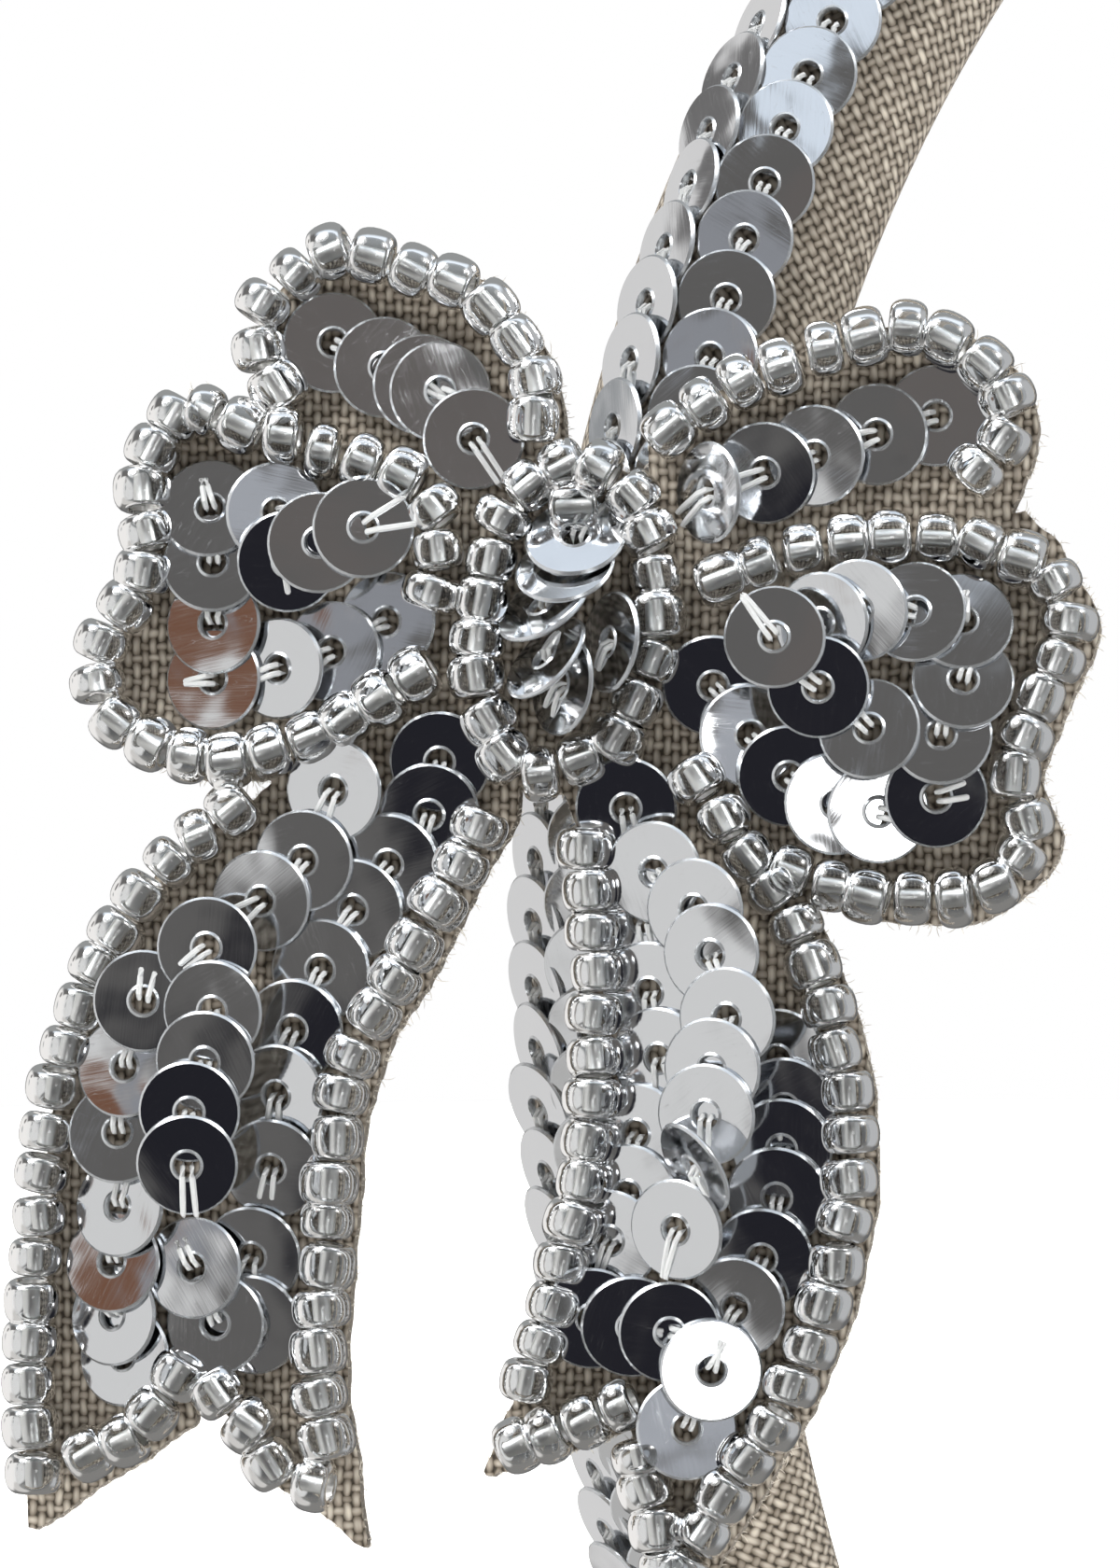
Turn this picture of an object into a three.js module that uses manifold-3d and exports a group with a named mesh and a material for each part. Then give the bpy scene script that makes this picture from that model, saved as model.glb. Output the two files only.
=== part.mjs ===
// A padded linen headband with two rows of lapped sequins and a beaded, sequinned bow on one arm.
// Millimetres. +Z is up, the hoop stands in the XZ plane on its two tips, and -Y is its front.
import * as THREE from "three";
import { mergeVertices } from "three/addons/utils/BufferGeometryUtils.js";
import Module from "manifold-3d";

const wasm = await Module();
wasm.setup();

const radians = THREE.MathUtils.degToRad;

// Clearance between pieces that lie on one another.
const GAP = 0.3;

// Hoop, along the middle of the band: a half round over the crown, arms that lean in under it,
// and tips that turn back to stand upright.
const CROWN_RADIUS = 60;
const ARM_RADIUS = 80;
const ARM_LEAN = radians(26);
const TIP_RADIUS = 30;
const TIP_STRAIGHT = 10;

// Section of the band: domed outside, flatter against the head.
const BAND_WIDTH = 10.6;
const BAND_DOME = 4.4;
const BAND_BACK = 2.8;
const BAND_BACK_FLATNESS = 0.6;
const BAND_SIDES = 16;
const BAND_STEPS = 56;

// Sequin rows: the seam between them is turned from the crest to the front, each leans away from
// it, and both stop short of the tips. Every sequin is thrown up at one edge by the one it laps over.
const ROWS_TURN = radians(15);
const ROW_LEAN = radians(21);
const ROW_WIDTH = 3.5;
const ROW_BARE_END = 9;
const SEQUIN_PITCH = 2.35;
const SEQUIN_LIFT = 0.45;
const SEQUIN_THICKNESS = 0.25;
const LAP_STEP = 0.05;

// Bow: how far its knot is above the widest part of the hoop, how far it turns from the side of
// the band to the front, how far it leans back, and how far the knot is off the seat.
const KNOT_RISE = 11;
const BOW_TURN = radians(44);
const BOW_LEAN = radians(8);
const KNOT_SHIFT = -2.8;
const CLOTH_THICKNESS = 1.2;
const CLOTH_MARGIN = 0.95;
const CLOTH_SHIFT = 0.35;
const FILL_INSET = 0.5;
const FILL_CLEARANCE = 0.5;
const BEAD_RADIUS = 1;
const FILL_THICKNESS = 0.9;

// The bow bends back from its middle to the loops, and along the tails from below the knot.
const LOOP_BEND_RADIUS = 180;
const TAIL_BEND_RADIUS = 150;
const TAIL_BEND_START = -8;

// Facets.
const STRING_SIDES = 8;
const STRING_STEP = 2.6;
const OUTLINE_STEP = 2;
const SHEET = { width: 50, height: 62, middle: -12, columns: 10, rows: 12 };
const CUTTER_DEPTH = 20;
const SHARPEST_CORNER = 0.45;
const SAME_SPOT = 1e-4;

// Bow, seen from its front: across to the right and up from the middle of the knot. Each run is
// a smooth line of beads, and rest closes the outline under the beads of the pieces beside it.
const BOW_PIECES = [
  {
    name: "knot",
    runs: [
      [[0.5, 6.4], [-2.1, 4.8], [-3.4, 1], [-3.3, -3.6], [-1.6, -6], [0, -6]],
      [[0, -6], [1.8, -5], [3.3, -2], [3.7, 1.5], [2.6, 4.7], [0.5, 6.4]],
    ],
    rest: [],
  },
  {
    name: "lower_left_loop",
    runs: [
      [[-5, 3.8], [-7.3, 5.9], [-11, 7], [-13.2, 7.6], [-15.6, 8.8]],
      [[-15.6, 8.8], [-17.3, 6], [-17, 2], [-18.9, -1.2], [-18.4, -3.8], [-15, -5.5], [-12, -5.4],
        [-8.4, -3.8], [-5.3, -1.8]],
    ],
    rest: [[-3.5, 1]],
  },
  {
    name: "lower_right_loop",
    runs: [
      [[5.4, 1.2], [9.2, 2.7], [14.7, 3.5], [19.4, 2.5]],
      [[19.4, 2.5], [20.8, 0.4], [19.1, -3.5], [18.4, -6], [18.8, -9], [16, -11], [11, -10.6], [8.4, -9.6]],
    ],
    rest: [[6, -7.2], [4.2, -4], [3.7, 0]],
  },
  {
    name: "upper_left_loop",
    runs: [
      [[-12.1, 9.4], [-12.9, 12], [-9.7, 15], [-3.5, 12.8], [-1.3, 9.6], [-1.2, 6.9]],
    ],
    rest: [[-3.6, 3.5], [-7.3, 5.9], [-12, 7.2]],
  },
  {
    name: "upper_right_loop",
    runs: [
      [[3.3, 7], [7.1, 9.6], [14.5, 11.6], [17.9, 8.8], [16.4, 5.6]],
    ],
    rest: [[14.7, 3.5], [9.2, 2.7], [3.7, 1]],
  },
  {
    name: "left_tail",
    runs: [
      [[-12.6, -7], [-16.5, -10], [-20, -16.3], [-21.7, -26], [-21.1, -34.2]],
      [[-21.1, -34.2], [-18, -33], [-15.2, -30.2]],
      [[-15.2, -30.2], [-12.6, -32.4], [-9.5, -34.3]],
      [[-9.5, -34.3], [-9.8, -26], [-8.8, -18], [-6.1, -13], [-3, -7.6]],
    ],
    rest: [[-2.6, -5.4], [-5.3, -1.8], [-8.4, -3.8]],
  },
  {
    name: "right_tail",
    runs: [
      [[0.3, -8.6], [1.1, -15.4], [0.3, -22.8], [-2.2, -32.7]],
      [[-2.2, -32.7], [1, -32.1], [3.3, -30.9]],
      [[3.3, -30.9], [3.9, -35], [4.5, -38.3]],
      [[4.5, -38.3], [9.9, -28.3], [11.3, -20.6], [9.5, -13.1], [5, -5.8]],
    ],
    rest: [[3.2, -2.6], [1.8, -5], [0, -6]],
  },
];

const linen = { color: "#a2988a", roughness: 0.95, metalness: 0 };
const silver = { color: "#b9bcc0", roughness: 0.15, metalness: 1 };
const linedGlass = { color: "#a9acb0", roughness: 0.1, metalness: 0.6 };

const ARM_LENGTH = ARM_RADIUS * ARM_LEAN;
const TIP_LENGTH = TIP_RADIUS * ARM_LEAN;
const QUARTER_CROWN = CROWN_RADIUS * Math.PI / 2;
const HALF_HOOP = QUARTER_CROWN + ARM_LENGTH + TIP_LENGTH + TIP_STRAIGHT;
const WIDEST_HEIGHT = (ARM_RADIUS + TIP_RADIUS) * Math.sin(ARM_LEAN) + TIP_STRAIGHT;

// A stretch of the middle line of the hoop, between two lengths measured from the crown.
class HoopLine extends THREE.Curve {
  constructor(from, to) {
    super();
    this.from = from;
    this.to = to;
  }

  getPoint(t, target = new THREE.Vector3()) {
    const along = THREE.MathUtils.lerp(this.from, this.to, t);
    const side = Math.sign(along) || 1;
    const crown = Math.min(Math.abs(along), QUARTER_CROWN);
    const arm = THREE.MathUtils.clamp(Math.abs(along) - QUARTER_CROWN, 0, ARM_LENGTH) / ARM_RADIUS;
    const tip = THREE.MathUtils.clamp(
      Math.abs(along) - QUARTER_CROWN - ARM_LENGTH, 0, TIP_LENGTH) / TIP_RADIUS;
    const straight = Math.max(Math.abs(along) - HALF_HOOP + TIP_STRAIGHT, 0);
    const across = CROWN_RADIUS * Math.sin(crown / CROWN_RADIUS)
      - ARM_RADIUS * (1 - Math.cos(arm))
      - TIP_RADIUS * (Math.cos(ARM_LEAN - tip) - Math.cos(ARM_LEAN));
    const up = WIDEST_HEIGHT + CROWN_RADIUS * Math.cos(crown / CROWN_RADIUS)
      - ARM_RADIUS * Math.sin(arm)
      - TIP_RADIUS * (Math.sin(ARM_LEAN) - Math.sin(ARM_LEAN - tip))
      - straight;
    return target.set(side * across, 0, up);
  }
}

function solidOf(geometry) {
  const bare = geometry.index ? geometry.toNonIndexed() : geometry.clone();
  bare.deleteAttribute("normal");
  bare.deleteAttribute("uv");
  const merged = mergeVertices(bare, SAME_SPOT);
  return new wasm.Manifold(new wasm.Mesh({
    numProp: 3,
    vertProperties: merged.attributes.position.array,
    triVerts: new Uint32Array(merged.index.array),
  }));
}

function geometryOf(solid) {
  const mesh = solid.getMesh();
  const geometry = new THREE.BufferGeometry();
  geometry.setAttribute("position", new THREE.BufferAttribute(mesh.vertProperties, 3));
  geometry.setIndex(new THREE.BufferAttribute(mesh.triVerts, 1));
  geometry.computeVertexNormals();
  return geometry;
}

function piece(name, geometry, material) {
  const mesh = new THREE.Mesh(geometry, new THREE.MeshStandardMaterial(material));
  mesh.name = name;
  return mesh;
}

// Sections have x towards the front of the band and y towards the head.
function bandSection() {
  const points = [];
  for (let i = 0; i < BAND_SIDES; i += 1) {
    const turn = (i / BAND_SIDES) * 2 * Math.PI;
    const depth = Math.sin(turn);
    const inward = depth > 0 ? BAND_BACK * depth ** BAND_BACK_FLATNESS : BAND_DOME * depth;
    points.push(new THREE.Vector2((BAND_WIDTH / 2) * Math.cos(turn), inward));
  }
  return new THREE.Shape(points);
}

function bandGeometry() {
  return new THREE.ExtrudeGeometry(bandSection(), {
    steps: BAND_STEPS,
    extrudePath: new HoopLine(-HALF_HOOP, HALF_HOOP),
    bevelEnabled: false,
  });
}

// A closed body through rings of corners that follow one another.
function lofted(rings) {
  const sides = rings[0].length;
  const corners = rings.flat().flatMap((corner) => corner.toArray());
  const faces = [];
  for (let ring = 0; ring + 1 < rings.length; ring += 1) {
    for (let side = 0; side < sides; side += 1) {
      const here = ring * sides + side;
      const beside = ring * sides + ((side + 1) % sides);
      faces.push(here, beside, beside + sides, here, beside + sides, here + sides);
    }
  }
  const last = (rings.length - 1) * sides;
  for (let side = 1; side + 1 < sides; side += 1) {
    faces.push(0, side + 1, side, last, last + side, last + side + 1);
  }
  const geometry = new THREE.BufferGeometry();
  geometry.setAttribute("position", new THREE.Float32BufferAttribute(corners, 3));
  geometry.setIndex(faces);
  geometry.computeVertexNormals();
  return geometry;
}

// A row of lapped sequins that leans to the front of the crest, from the far arm over the crown
// to the arm with the bow.
function rowGeometry(lean) {
  const hoop = new HoopLine(-HALF_HOOP, HALF_HOOP);
  const dome = Math.hypot((BAND_WIDTH / 2) * Math.sin(lean), BAND_DOME * Math.cos(lean));
  const ringAt = (along, thickness) => {
    const t = (along + HALF_HOOP) / (2 * HALF_HOOP);
    const tangent = hoop.getTangent(t);
    const inward = new THREE.Vector3(tangent.z, 0, -tangent.x);
    return [[-1, 0], [1, 0], [1, thickness], [-1, thickness]].map(([edge, height]) => {
      const across = edge * ROW_WIDTH / 2;
      const out = dome + GAP + height;
      const front = out * Math.sin(lean) + across * Math.cos(lean);
      return hoop.getPoint(t)
        .add(new THREE.Vector3(0, -front, 0))
        .addScaledVector(inward, across * Math.sin(lean) - out * Math.cos(lean));
    });
  };
  const reach = HALF_HOOP - ROW_BARE_END;
  const count = Math.floor(2 * reach / SEQUIN_PITCH);
  const rings = [];
  for (let i = 0; i < count; i += 1) {
    const along = reach - i * SEQUIN_PITCH;
    rings.push(ringAt(along, SEQUIN_THICKNESS + SEQUIN_LIFT));
    rings.push(ringAt(along - SEQUIN_PITCH + LAP_STEP, SEQUIN_THICKNESS));
  }
  return lofted(rings);
}

function bend(across, up) {
  const below = Math.max(TAIL_BEND_START - up, 0);
  return -(across ** 2) / (2 * LOOP_BEND_RADIUS) - below ** 2 / (2 * TAIL_BEND_RADIUS);
}

// A layer of the bent bow between two heights over the face of the cloth.
function layer(bottom, top) {
  const box = new THREE.BoxGeometry(
    SHEET.width, SHEET.height, top - bottom, SHEET.columns, SHEET.rows, 1);
  box.translate(0, SHEET.middle, (top + bottom) / 2);
  const spots = box.attributes.position;
  for (let i = 0; i < spots.count; i += 1) {
    spots.setZ(i, spots.getZ(i) + bend(spots.getX(i), spots.getY(i)));
  }
  return solidOf(box);
}

function smoothLine(run, height = 0, bent = false) {
  const spots = run.map(([across, up]) =>
    new THREE.Vector3(across, up, height + (bent ? bend(across, up) : 0)));
  return new THREE.CatmullRomCurve3(spots, false, "centripetal");
}

function outlineOf({ runs, rest }) {
  const outline = runs.flatMap((run) => {
    const line = smoothLine(run);
    const spots = line.getSpacedPoints(Math.ceil(line.getLength() / OUTLINE_STEP));
    return spots.slice(0, -1);
  });
  const end = runs.at(-1).at(-1);
  const closing = rest.length ? [end, ...rest] : [];
  return [...outline, ...closing.map(([across, up]) => new THREE.Vector3(across, up, 0))];
}

// The outline moved outwards, with pointed corners.
function grown(outline, margin) {
  const turned = Math.sign(THREE.ShapeUtils.area(outline));
  return outline.map((spot, i) => {
    const before = outline.at(i - 1);
    const after = outline[(i + 1) % outline.length];
    const sides = [[before, spot], [spot, after]].map(([from, to]) => {
      const edge = to.clone().sub(from).normalize();
      return new THREE.Vector3(turned * edge.y, -turned * edge.x, 0);
    });
    const away = sides[0].clone().add(sides[1]).normalize();
    const reach = margin / Math.max(away.dot(sides[0]), SHARPEST_CORNER);
    return spot.clone().addScaledVector(away, reach);
  });
}

function prism(outline) {
  const shape = new THREE.Shape(outline.map((spot) => new THREE.Vector2(spot.x, spot.y)));
  const geometry = new THREE.ExtrudeGeometry(shape, { depth: CUTTER_DEPTH, bevelEnabled: false });
  geometry.translate(0, 0, -CUTTER_DEPTH / 2);
  return solidOf(geometry);
}

function joined(solids) {
  return solids.reduce((whole, next) => whole.add(next));
}

// A run made longer at both ends.
function lengthened(run, extra) {
  const pushed = ([fromAcross, fromUp], [across, up]) => {
    const share = extra / Math.hypot(across - fromAcross, up - fromUp);
    return [across + (across - fromAcross) * share, up + (up - fromUp) * share];
  };
  return [pushed(run[1], run[0]), ...run.slice(1, -1), pushed(run.at(-2), run.at(-1))];
}

// The beads of a piece, threaded end to end, with a clearance around them.
function beadString({ runs }, clearance) {
  const section = new THREE.Shape();
  section.absarc(0, 0, BEAD_RADIUS + clearance, 0, 2 * Math.PI);
  return joined(runs.map((run) => {
    const path = smoothLine(lengthened(run, clearance), GAP + BEAD_RADIUS, true);
    return solidOf(new THREE.ExtrudeGeometry(section, {
      steps: Math.ceil(path.getLength() / STRING_STEP),
      curveSegments: STRING_SIDES / 2,
      extrudePath: path,
      bevelEnabled: false,
    }));
  }));
}

function bowMeshes() {
  const cut = joined(BOW_PIECES.map((part) => prism(grown(outlineOf(part), CLOTH_MARGIN))));
  const cloth = cut.translate([CLOTH_SHIFT, 0, 0]).intersect(layer(-CLOTH_THICKNESS, 0));
  const strings = BOW_PIECES.map((part) => beadString(part, GAP));
  const clearances = BOW_PIECES.map((part) => beadString(part, FILL_CLEARANCE));
  const fill = layer(GAP, GAP + FILL_THICKNESS);
  const meshes = [piece("bow_cloth", geometryOf(cloth), linen)];
  BOW_PIECES.forEach((part, i) => {
    const string = beadString(part, 0);
    const beads = strings.slice(0, i).reduce((left, other) => left.subtract(other), string);
    const field = prism(grown(outlineOf(part), -FILL_INSET)).intersect(fill);
    const sequins = clearances.reduce((left, other) => left.subtract(other), field);
    meshes.push(piece(`${part.name}_beads`, geometryOf(beads), linedGlass));
    meshes.push(piece(`${part.name}_sequins`, geometryOf(sequins), silver));
  });
  return meshes;
}

// How far a piece reaches from a spot in a given direction.
function reachOf(geometry, spot, direction) {
  const spots = geometry.attributes.position;
  let reach = -Infinity;
  for (let i = 0; i < spots.count; i += 1) {
    const vertex = new THREE.Vector3().fromBufferAttribute(spots, i);
    reach = Math.max(reach, vertex.sub(spot).dot(direction));
  }
  return reach;
}

const band = bandGeometry();
const frontRow = rowGeometry(ROWS_TURN + ROW_LEAN);
const backRow = rowGeometry(ROWS_TURN - ROW_LEAN);

// The bow lies against the front row of sequins.
const bow = new THREE.Group();
bow.add(...bowMeshes());
const facing = new THREE.Vector3(
  -Math.cos(BOW_TURN) * Math.cos(BOW_LEAN), -Math.sin(BOW_TURN) * Math.cos(BOW_LEAN), Math.sin(BOW_LEAN));
const rightward = new THREE.Vector3(Math.sin(BOW_TURN), -Math.cos(BOW_TURN), 0);
const upward = facing.clone().cross(rightward);
const knotLength = CROWN_RADIUS * Math.acos(KNOT_RISE / CROWN_RADIUS);
const seat = new HoopLine(-knotLength, -knotLength).getPoint(0);
const standoff = reachOf(frontRow, seat, facing) + GAP + CLOTH_THICKNESS;
bow.setRotationFromMatrix(new THREE.Matrix4().makeBasis(rightward, upward, facing));
bow.position.copy(seat).addScaledVector(facing, standoff).addScaledVector(rightward, KNOT_SHIFT);

const headband = new THREE.Group();
headband.add(piece("band", band, linen));
headband.add(piece("band_sequins_front", frontRow, silver));
headband.add(piece("band_sequins_back", backRow, silver));
headband.add(bow);

// The origin is on the floor, under the middle of the whole headband.
const box = new THREE.Box3().setFromObject(headband, true);
const middle = box.getCenter(new THREE.Vector3());
headband.position.set(-middle.x, -middle.y, -box.min.z);

export default headband;
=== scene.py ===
"""A padded linen headband seen close at the beaded and sequinned bow on its side."""

import math

import bpy
import numpy as np
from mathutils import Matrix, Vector


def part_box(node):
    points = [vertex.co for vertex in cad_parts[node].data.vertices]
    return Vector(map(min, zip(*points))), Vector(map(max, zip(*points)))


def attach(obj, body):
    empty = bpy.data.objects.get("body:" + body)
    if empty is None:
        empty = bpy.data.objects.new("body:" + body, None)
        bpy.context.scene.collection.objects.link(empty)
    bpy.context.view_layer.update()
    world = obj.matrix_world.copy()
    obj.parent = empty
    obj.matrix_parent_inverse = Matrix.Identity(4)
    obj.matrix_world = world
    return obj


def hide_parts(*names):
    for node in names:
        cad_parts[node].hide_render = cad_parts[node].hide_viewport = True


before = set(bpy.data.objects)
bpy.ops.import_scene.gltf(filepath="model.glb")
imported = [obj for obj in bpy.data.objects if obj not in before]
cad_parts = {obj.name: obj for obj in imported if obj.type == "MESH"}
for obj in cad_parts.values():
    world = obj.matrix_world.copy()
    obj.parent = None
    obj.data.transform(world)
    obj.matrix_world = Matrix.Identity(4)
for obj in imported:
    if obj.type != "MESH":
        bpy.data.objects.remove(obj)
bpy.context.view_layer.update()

MM = 0.001  # lengths in this file are in mm, and Blender's are in metres
TINY = 1e-6
chance = np.random.default_rng(26)

# Hoop of the band: half round over the crown, arms leaning in under it, tips standing upright.
CROWN_RADIUS = 60.0
ARM_RADIUS = 80.0
ARM_LEAN = math.radians(26)
TIP_RADIUS = 30.0
TIP_STRAIGHT = 10.0
QUARTER_CROWN = CROWN_RADIUS * math.pi / 2
ARM_LENGTH = ARM_RADIUS * ARM_LEAN
TIP_LENGTH = TIP_RADIUS * ARM_LEAN
HALF_HOOP = QUARTER_CROWN + ARM_LENGTH + TIP_LENGTH + TIP_STRAIGHT
WIDEST_HEIGHT = (ARM_RADIUS + TIP_RADIUS) * math.sin(ARM_LEAN) + TIP_STRAIGHT

# Section of the padded band, and the lapped seam of its cloth along the inside.
BAND_WIDTH = 10.6
BAND_DOME = 4.4
BAND_BACK = 2.8
BAND_BACK_FLATNESS = 0.6
TIP_ROUNDING = 1.2
SEAM_WIDTH = 2.4
SEAM_RISE = 0.3
SEAM_FLANK = 0.25  # share of half the seam over which it rises
BAND_SIDES = 64
BAND_STEPS = 440
TIP_RINGS = (0, 0.08, 0.25, 0.55)  # shares of the tip's rounding

# A sequin: a washer of film with a lip pressed up round its hole, and a little cup or saddle in it.
SEQUIN_RADIUS = 2.03
SEQUIN_HOLE = 0.5
SEQUIN_LIP = 0.17
SEQUIN_THICKNESS = 0.24
SEQUIN_BEVEL = 0.09
LIP_PEAK = (0.4, 0.7)  # shares of the lip's width and of the bevel
SEQUIN_SIDES = 40
CUP, CUP_SPREAD = -0.006, 0.004  # mm of rise for each square mm from the middle
CUP_LEVEL = 2  # square mm from the middle where the cup changes no height
SADDLE_SPREAD = 0.008
FILM_ROLL = 900  # mm of film that the sequins were punched from

# The two rows of sequins along the band, and how unevenly they were sewn.
ROW_LIFT = 0.3
ROW_BARE_END = 9.0
ROW_PITCH = 2.35
ROW_UNEVEN = 0.08
LAP_LEAN = math.radians(12)
LEAN_UNEVEN = math.radians(1.5)
ROLL_UNEVEN = math.radians(2.5)
# Each row: mm that it is ahead, its askew sequins by number with degrees of roll, and where it
# sits and which way it faces, by mm along the band from the crown and degrees from the crest to
# the front.
ROWS = {
    "front": {"ahead": 0.75, "askew": {90: 6, 92: 3},
              "sits": [(-92, 28), (-80, 48), (-75, 47), (-58, 41)],
              "faces": [(-92, 27), (-80, 36)]},
    "back": {"ahead": 0, "askew": {90: -5},
             "sits": [(-92, -6), (-80, 9), (-75, 8), (-58, 4)],
             "faces": [(-92, -9), (-80, -5), (-75, -6), (-70, -8)]},
}

# Bow: how far its seat is above the widest part of the hoop, its turn to the front, its lean and
# the knot's shift to the right, then its cloth and how its loops and tails bend back.
KNOT_RISE = 11.0
BOW_TURN = math.radians(44)
BOW_LEAN = math.radians(8)
KNOT_SHIFT = -2.8
CLOTH_THICKNESS = 1.0
CLOTH_MARGIN = 0.62
SHARPEST_CORNER = 0.4
CLOTH_SHIFT = (0.35, -0.2)
LOOP_BEND_RADIUS = 180.0
TAIL_BEND_RADIUS = 150.0
TAIL_BEND_START = -8.0

# Cut edge of the bow's cloth: the squares it is built of and how far they reach across and up,
# and the waves, in radians to the mm, that make the edge ragged.
CLOTH_CELL = 0.25
CLOTH_REACH = ((-26, 26), (-43, 19))
OUTLINE_STEP = 0.5
RAGGED_DEPTH = 0.03
RAGGED_WAVES = (2, 3, 5, 7)
RAGGED_PHASE = 6
LEAST_SLOPE = 0.3  # least square of the slope that an edge point is moved by
UNDERSIDE_SHIFT = 60  # mm between the weave above and the weave below

# Fibres that stand out of the cut edge. Turn is in radians; curl and lift are shares of length.
FRAY_COUNT = 2600
FRAY_RADIUS = 0.015
FRAY_SIDES = 3
FRAY_BULK, FRAY_SCALE = 2.0, 0.09
FRAY_SHORTEST, FRAY_LONGEST = 0.08, 0.7
FRAY_TURN = 0.8
FRAY_CURL = 0.5
FRAY_LIFT = 0.3
FRAY_ALONG = np.linspace(-0.2, 1, 6)  # from inside the cloth to the free end

# Glass beads, threaded end to end, and how unlike each other they are.
BEAD_RADIUS = 1.14
BEAD_BORE = 0.54
BEAD_LIP = 0.1
BEAD_SQUARENESS = 0.86
BEAD_LENGTH = 1.6
BEAD_PITCH = 1.68
BEAD_HEIGHT = 1.2
BEAD_RINGS = 13
BEAD_SIDES = 24
BEAD_UNEVEN = 0.07
BEAD_TILT = math.radians(5)
BEAD_WIDTH_SPREAD = 0.045  # share of the width
BEAD_LENGTH_SPREAD = 0.08  # share of the length
BEAD_HEIGHT_SPREAD = 0.06

# Stitches, two strands to a sequin: mm ahead of the hole and mm above the film at points along a
# stitch, before it is drawn in to the reach that the next sequin leaves bare.
STITCH = ((0.0, -0.5), (0.1, 0.0), (0.45, 0.22), (0.9, 0.2), (1.5, 0.18), (2.0, 0.12),
          (2.25, -0.25))
STITCH_REACH = 1.2
STITCH_SKEW = 0.12
THREAD_RADIUS = 0.12
THREAD_APART = 0.36
THREAD_SIDES = 6
STRAND_POINT = 0.05  # share of a strand's radius at its two ends

# How the bow's sequins come to rest: squares of a map of heights over the bow, its low corner and
# its count of squares, how far yarns hold the lowest sequins up, the angles by which a sequin may
# give way to those under it, and mm of height that a square radian of that is worth.
REST_CELL = 0.1
REST_CORNER = (-26.0, -42.0)
REST_CELLS = (520, 600)
YARN_LIFT = 0.12
GIVE = np.radians([-12, -8, -4, 0, 4, 8, 12])
GIVE_COST = 12

# Linen: mm between yarns of its two sets, the share of that which each yarn covers, mm over which
# the yarns wander and by how many yarns, and how far the cloth of the band is turned from the
# band's length.
WARP_PITCH = 0.36
WEFT_PITCH = 0.5
WARP_COVER = 0.66
WEFT_COVER = 0.5
WANDER_LENGTH = 10 / 7
WANDER_YARNS = 0.8
BAND_BIAS = math.radians(-38)
# Slubs to each yarn spacing along and across a yarn, and what slubs, warp and painted relief shade
# add to tone.
SLUB_ALONG = 0.25
SLUB_ACROSS = 1.1
SLUB_TONE = 1.2
TONE_FLOOR = -0.52
WARP_TONE = 0.14
# Painted shade: how much the yarns' relief darkens the gaps between them and lightens their crowns.
RELIEF_PAINTED_SHADE = 0.62
YARN_RELIEF = 0.08

# Film: rolling lines and scratches to the mm, along and across them, waves to the mm, and mm of
# relief. A scratch shows where its noise is this near to the middle.
ROLLING_LINES = (0.5, 9.0, 1.0)
SCRATCHES = (0.35, 2.2, 1.0)
FILM_WAVES = 0.45
WAVE_RELIEF = 0.05
LINE_RELIEF = 0.0012
SCRATCH_MIDDLE, SCRATCH_NEAR = 0.5, 0.002
FILM_ROUGHNESS = 0.02
LINE_ROUGHNESS = 0.12
SCRATCH_ROUGHNESS = 0.1

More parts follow.
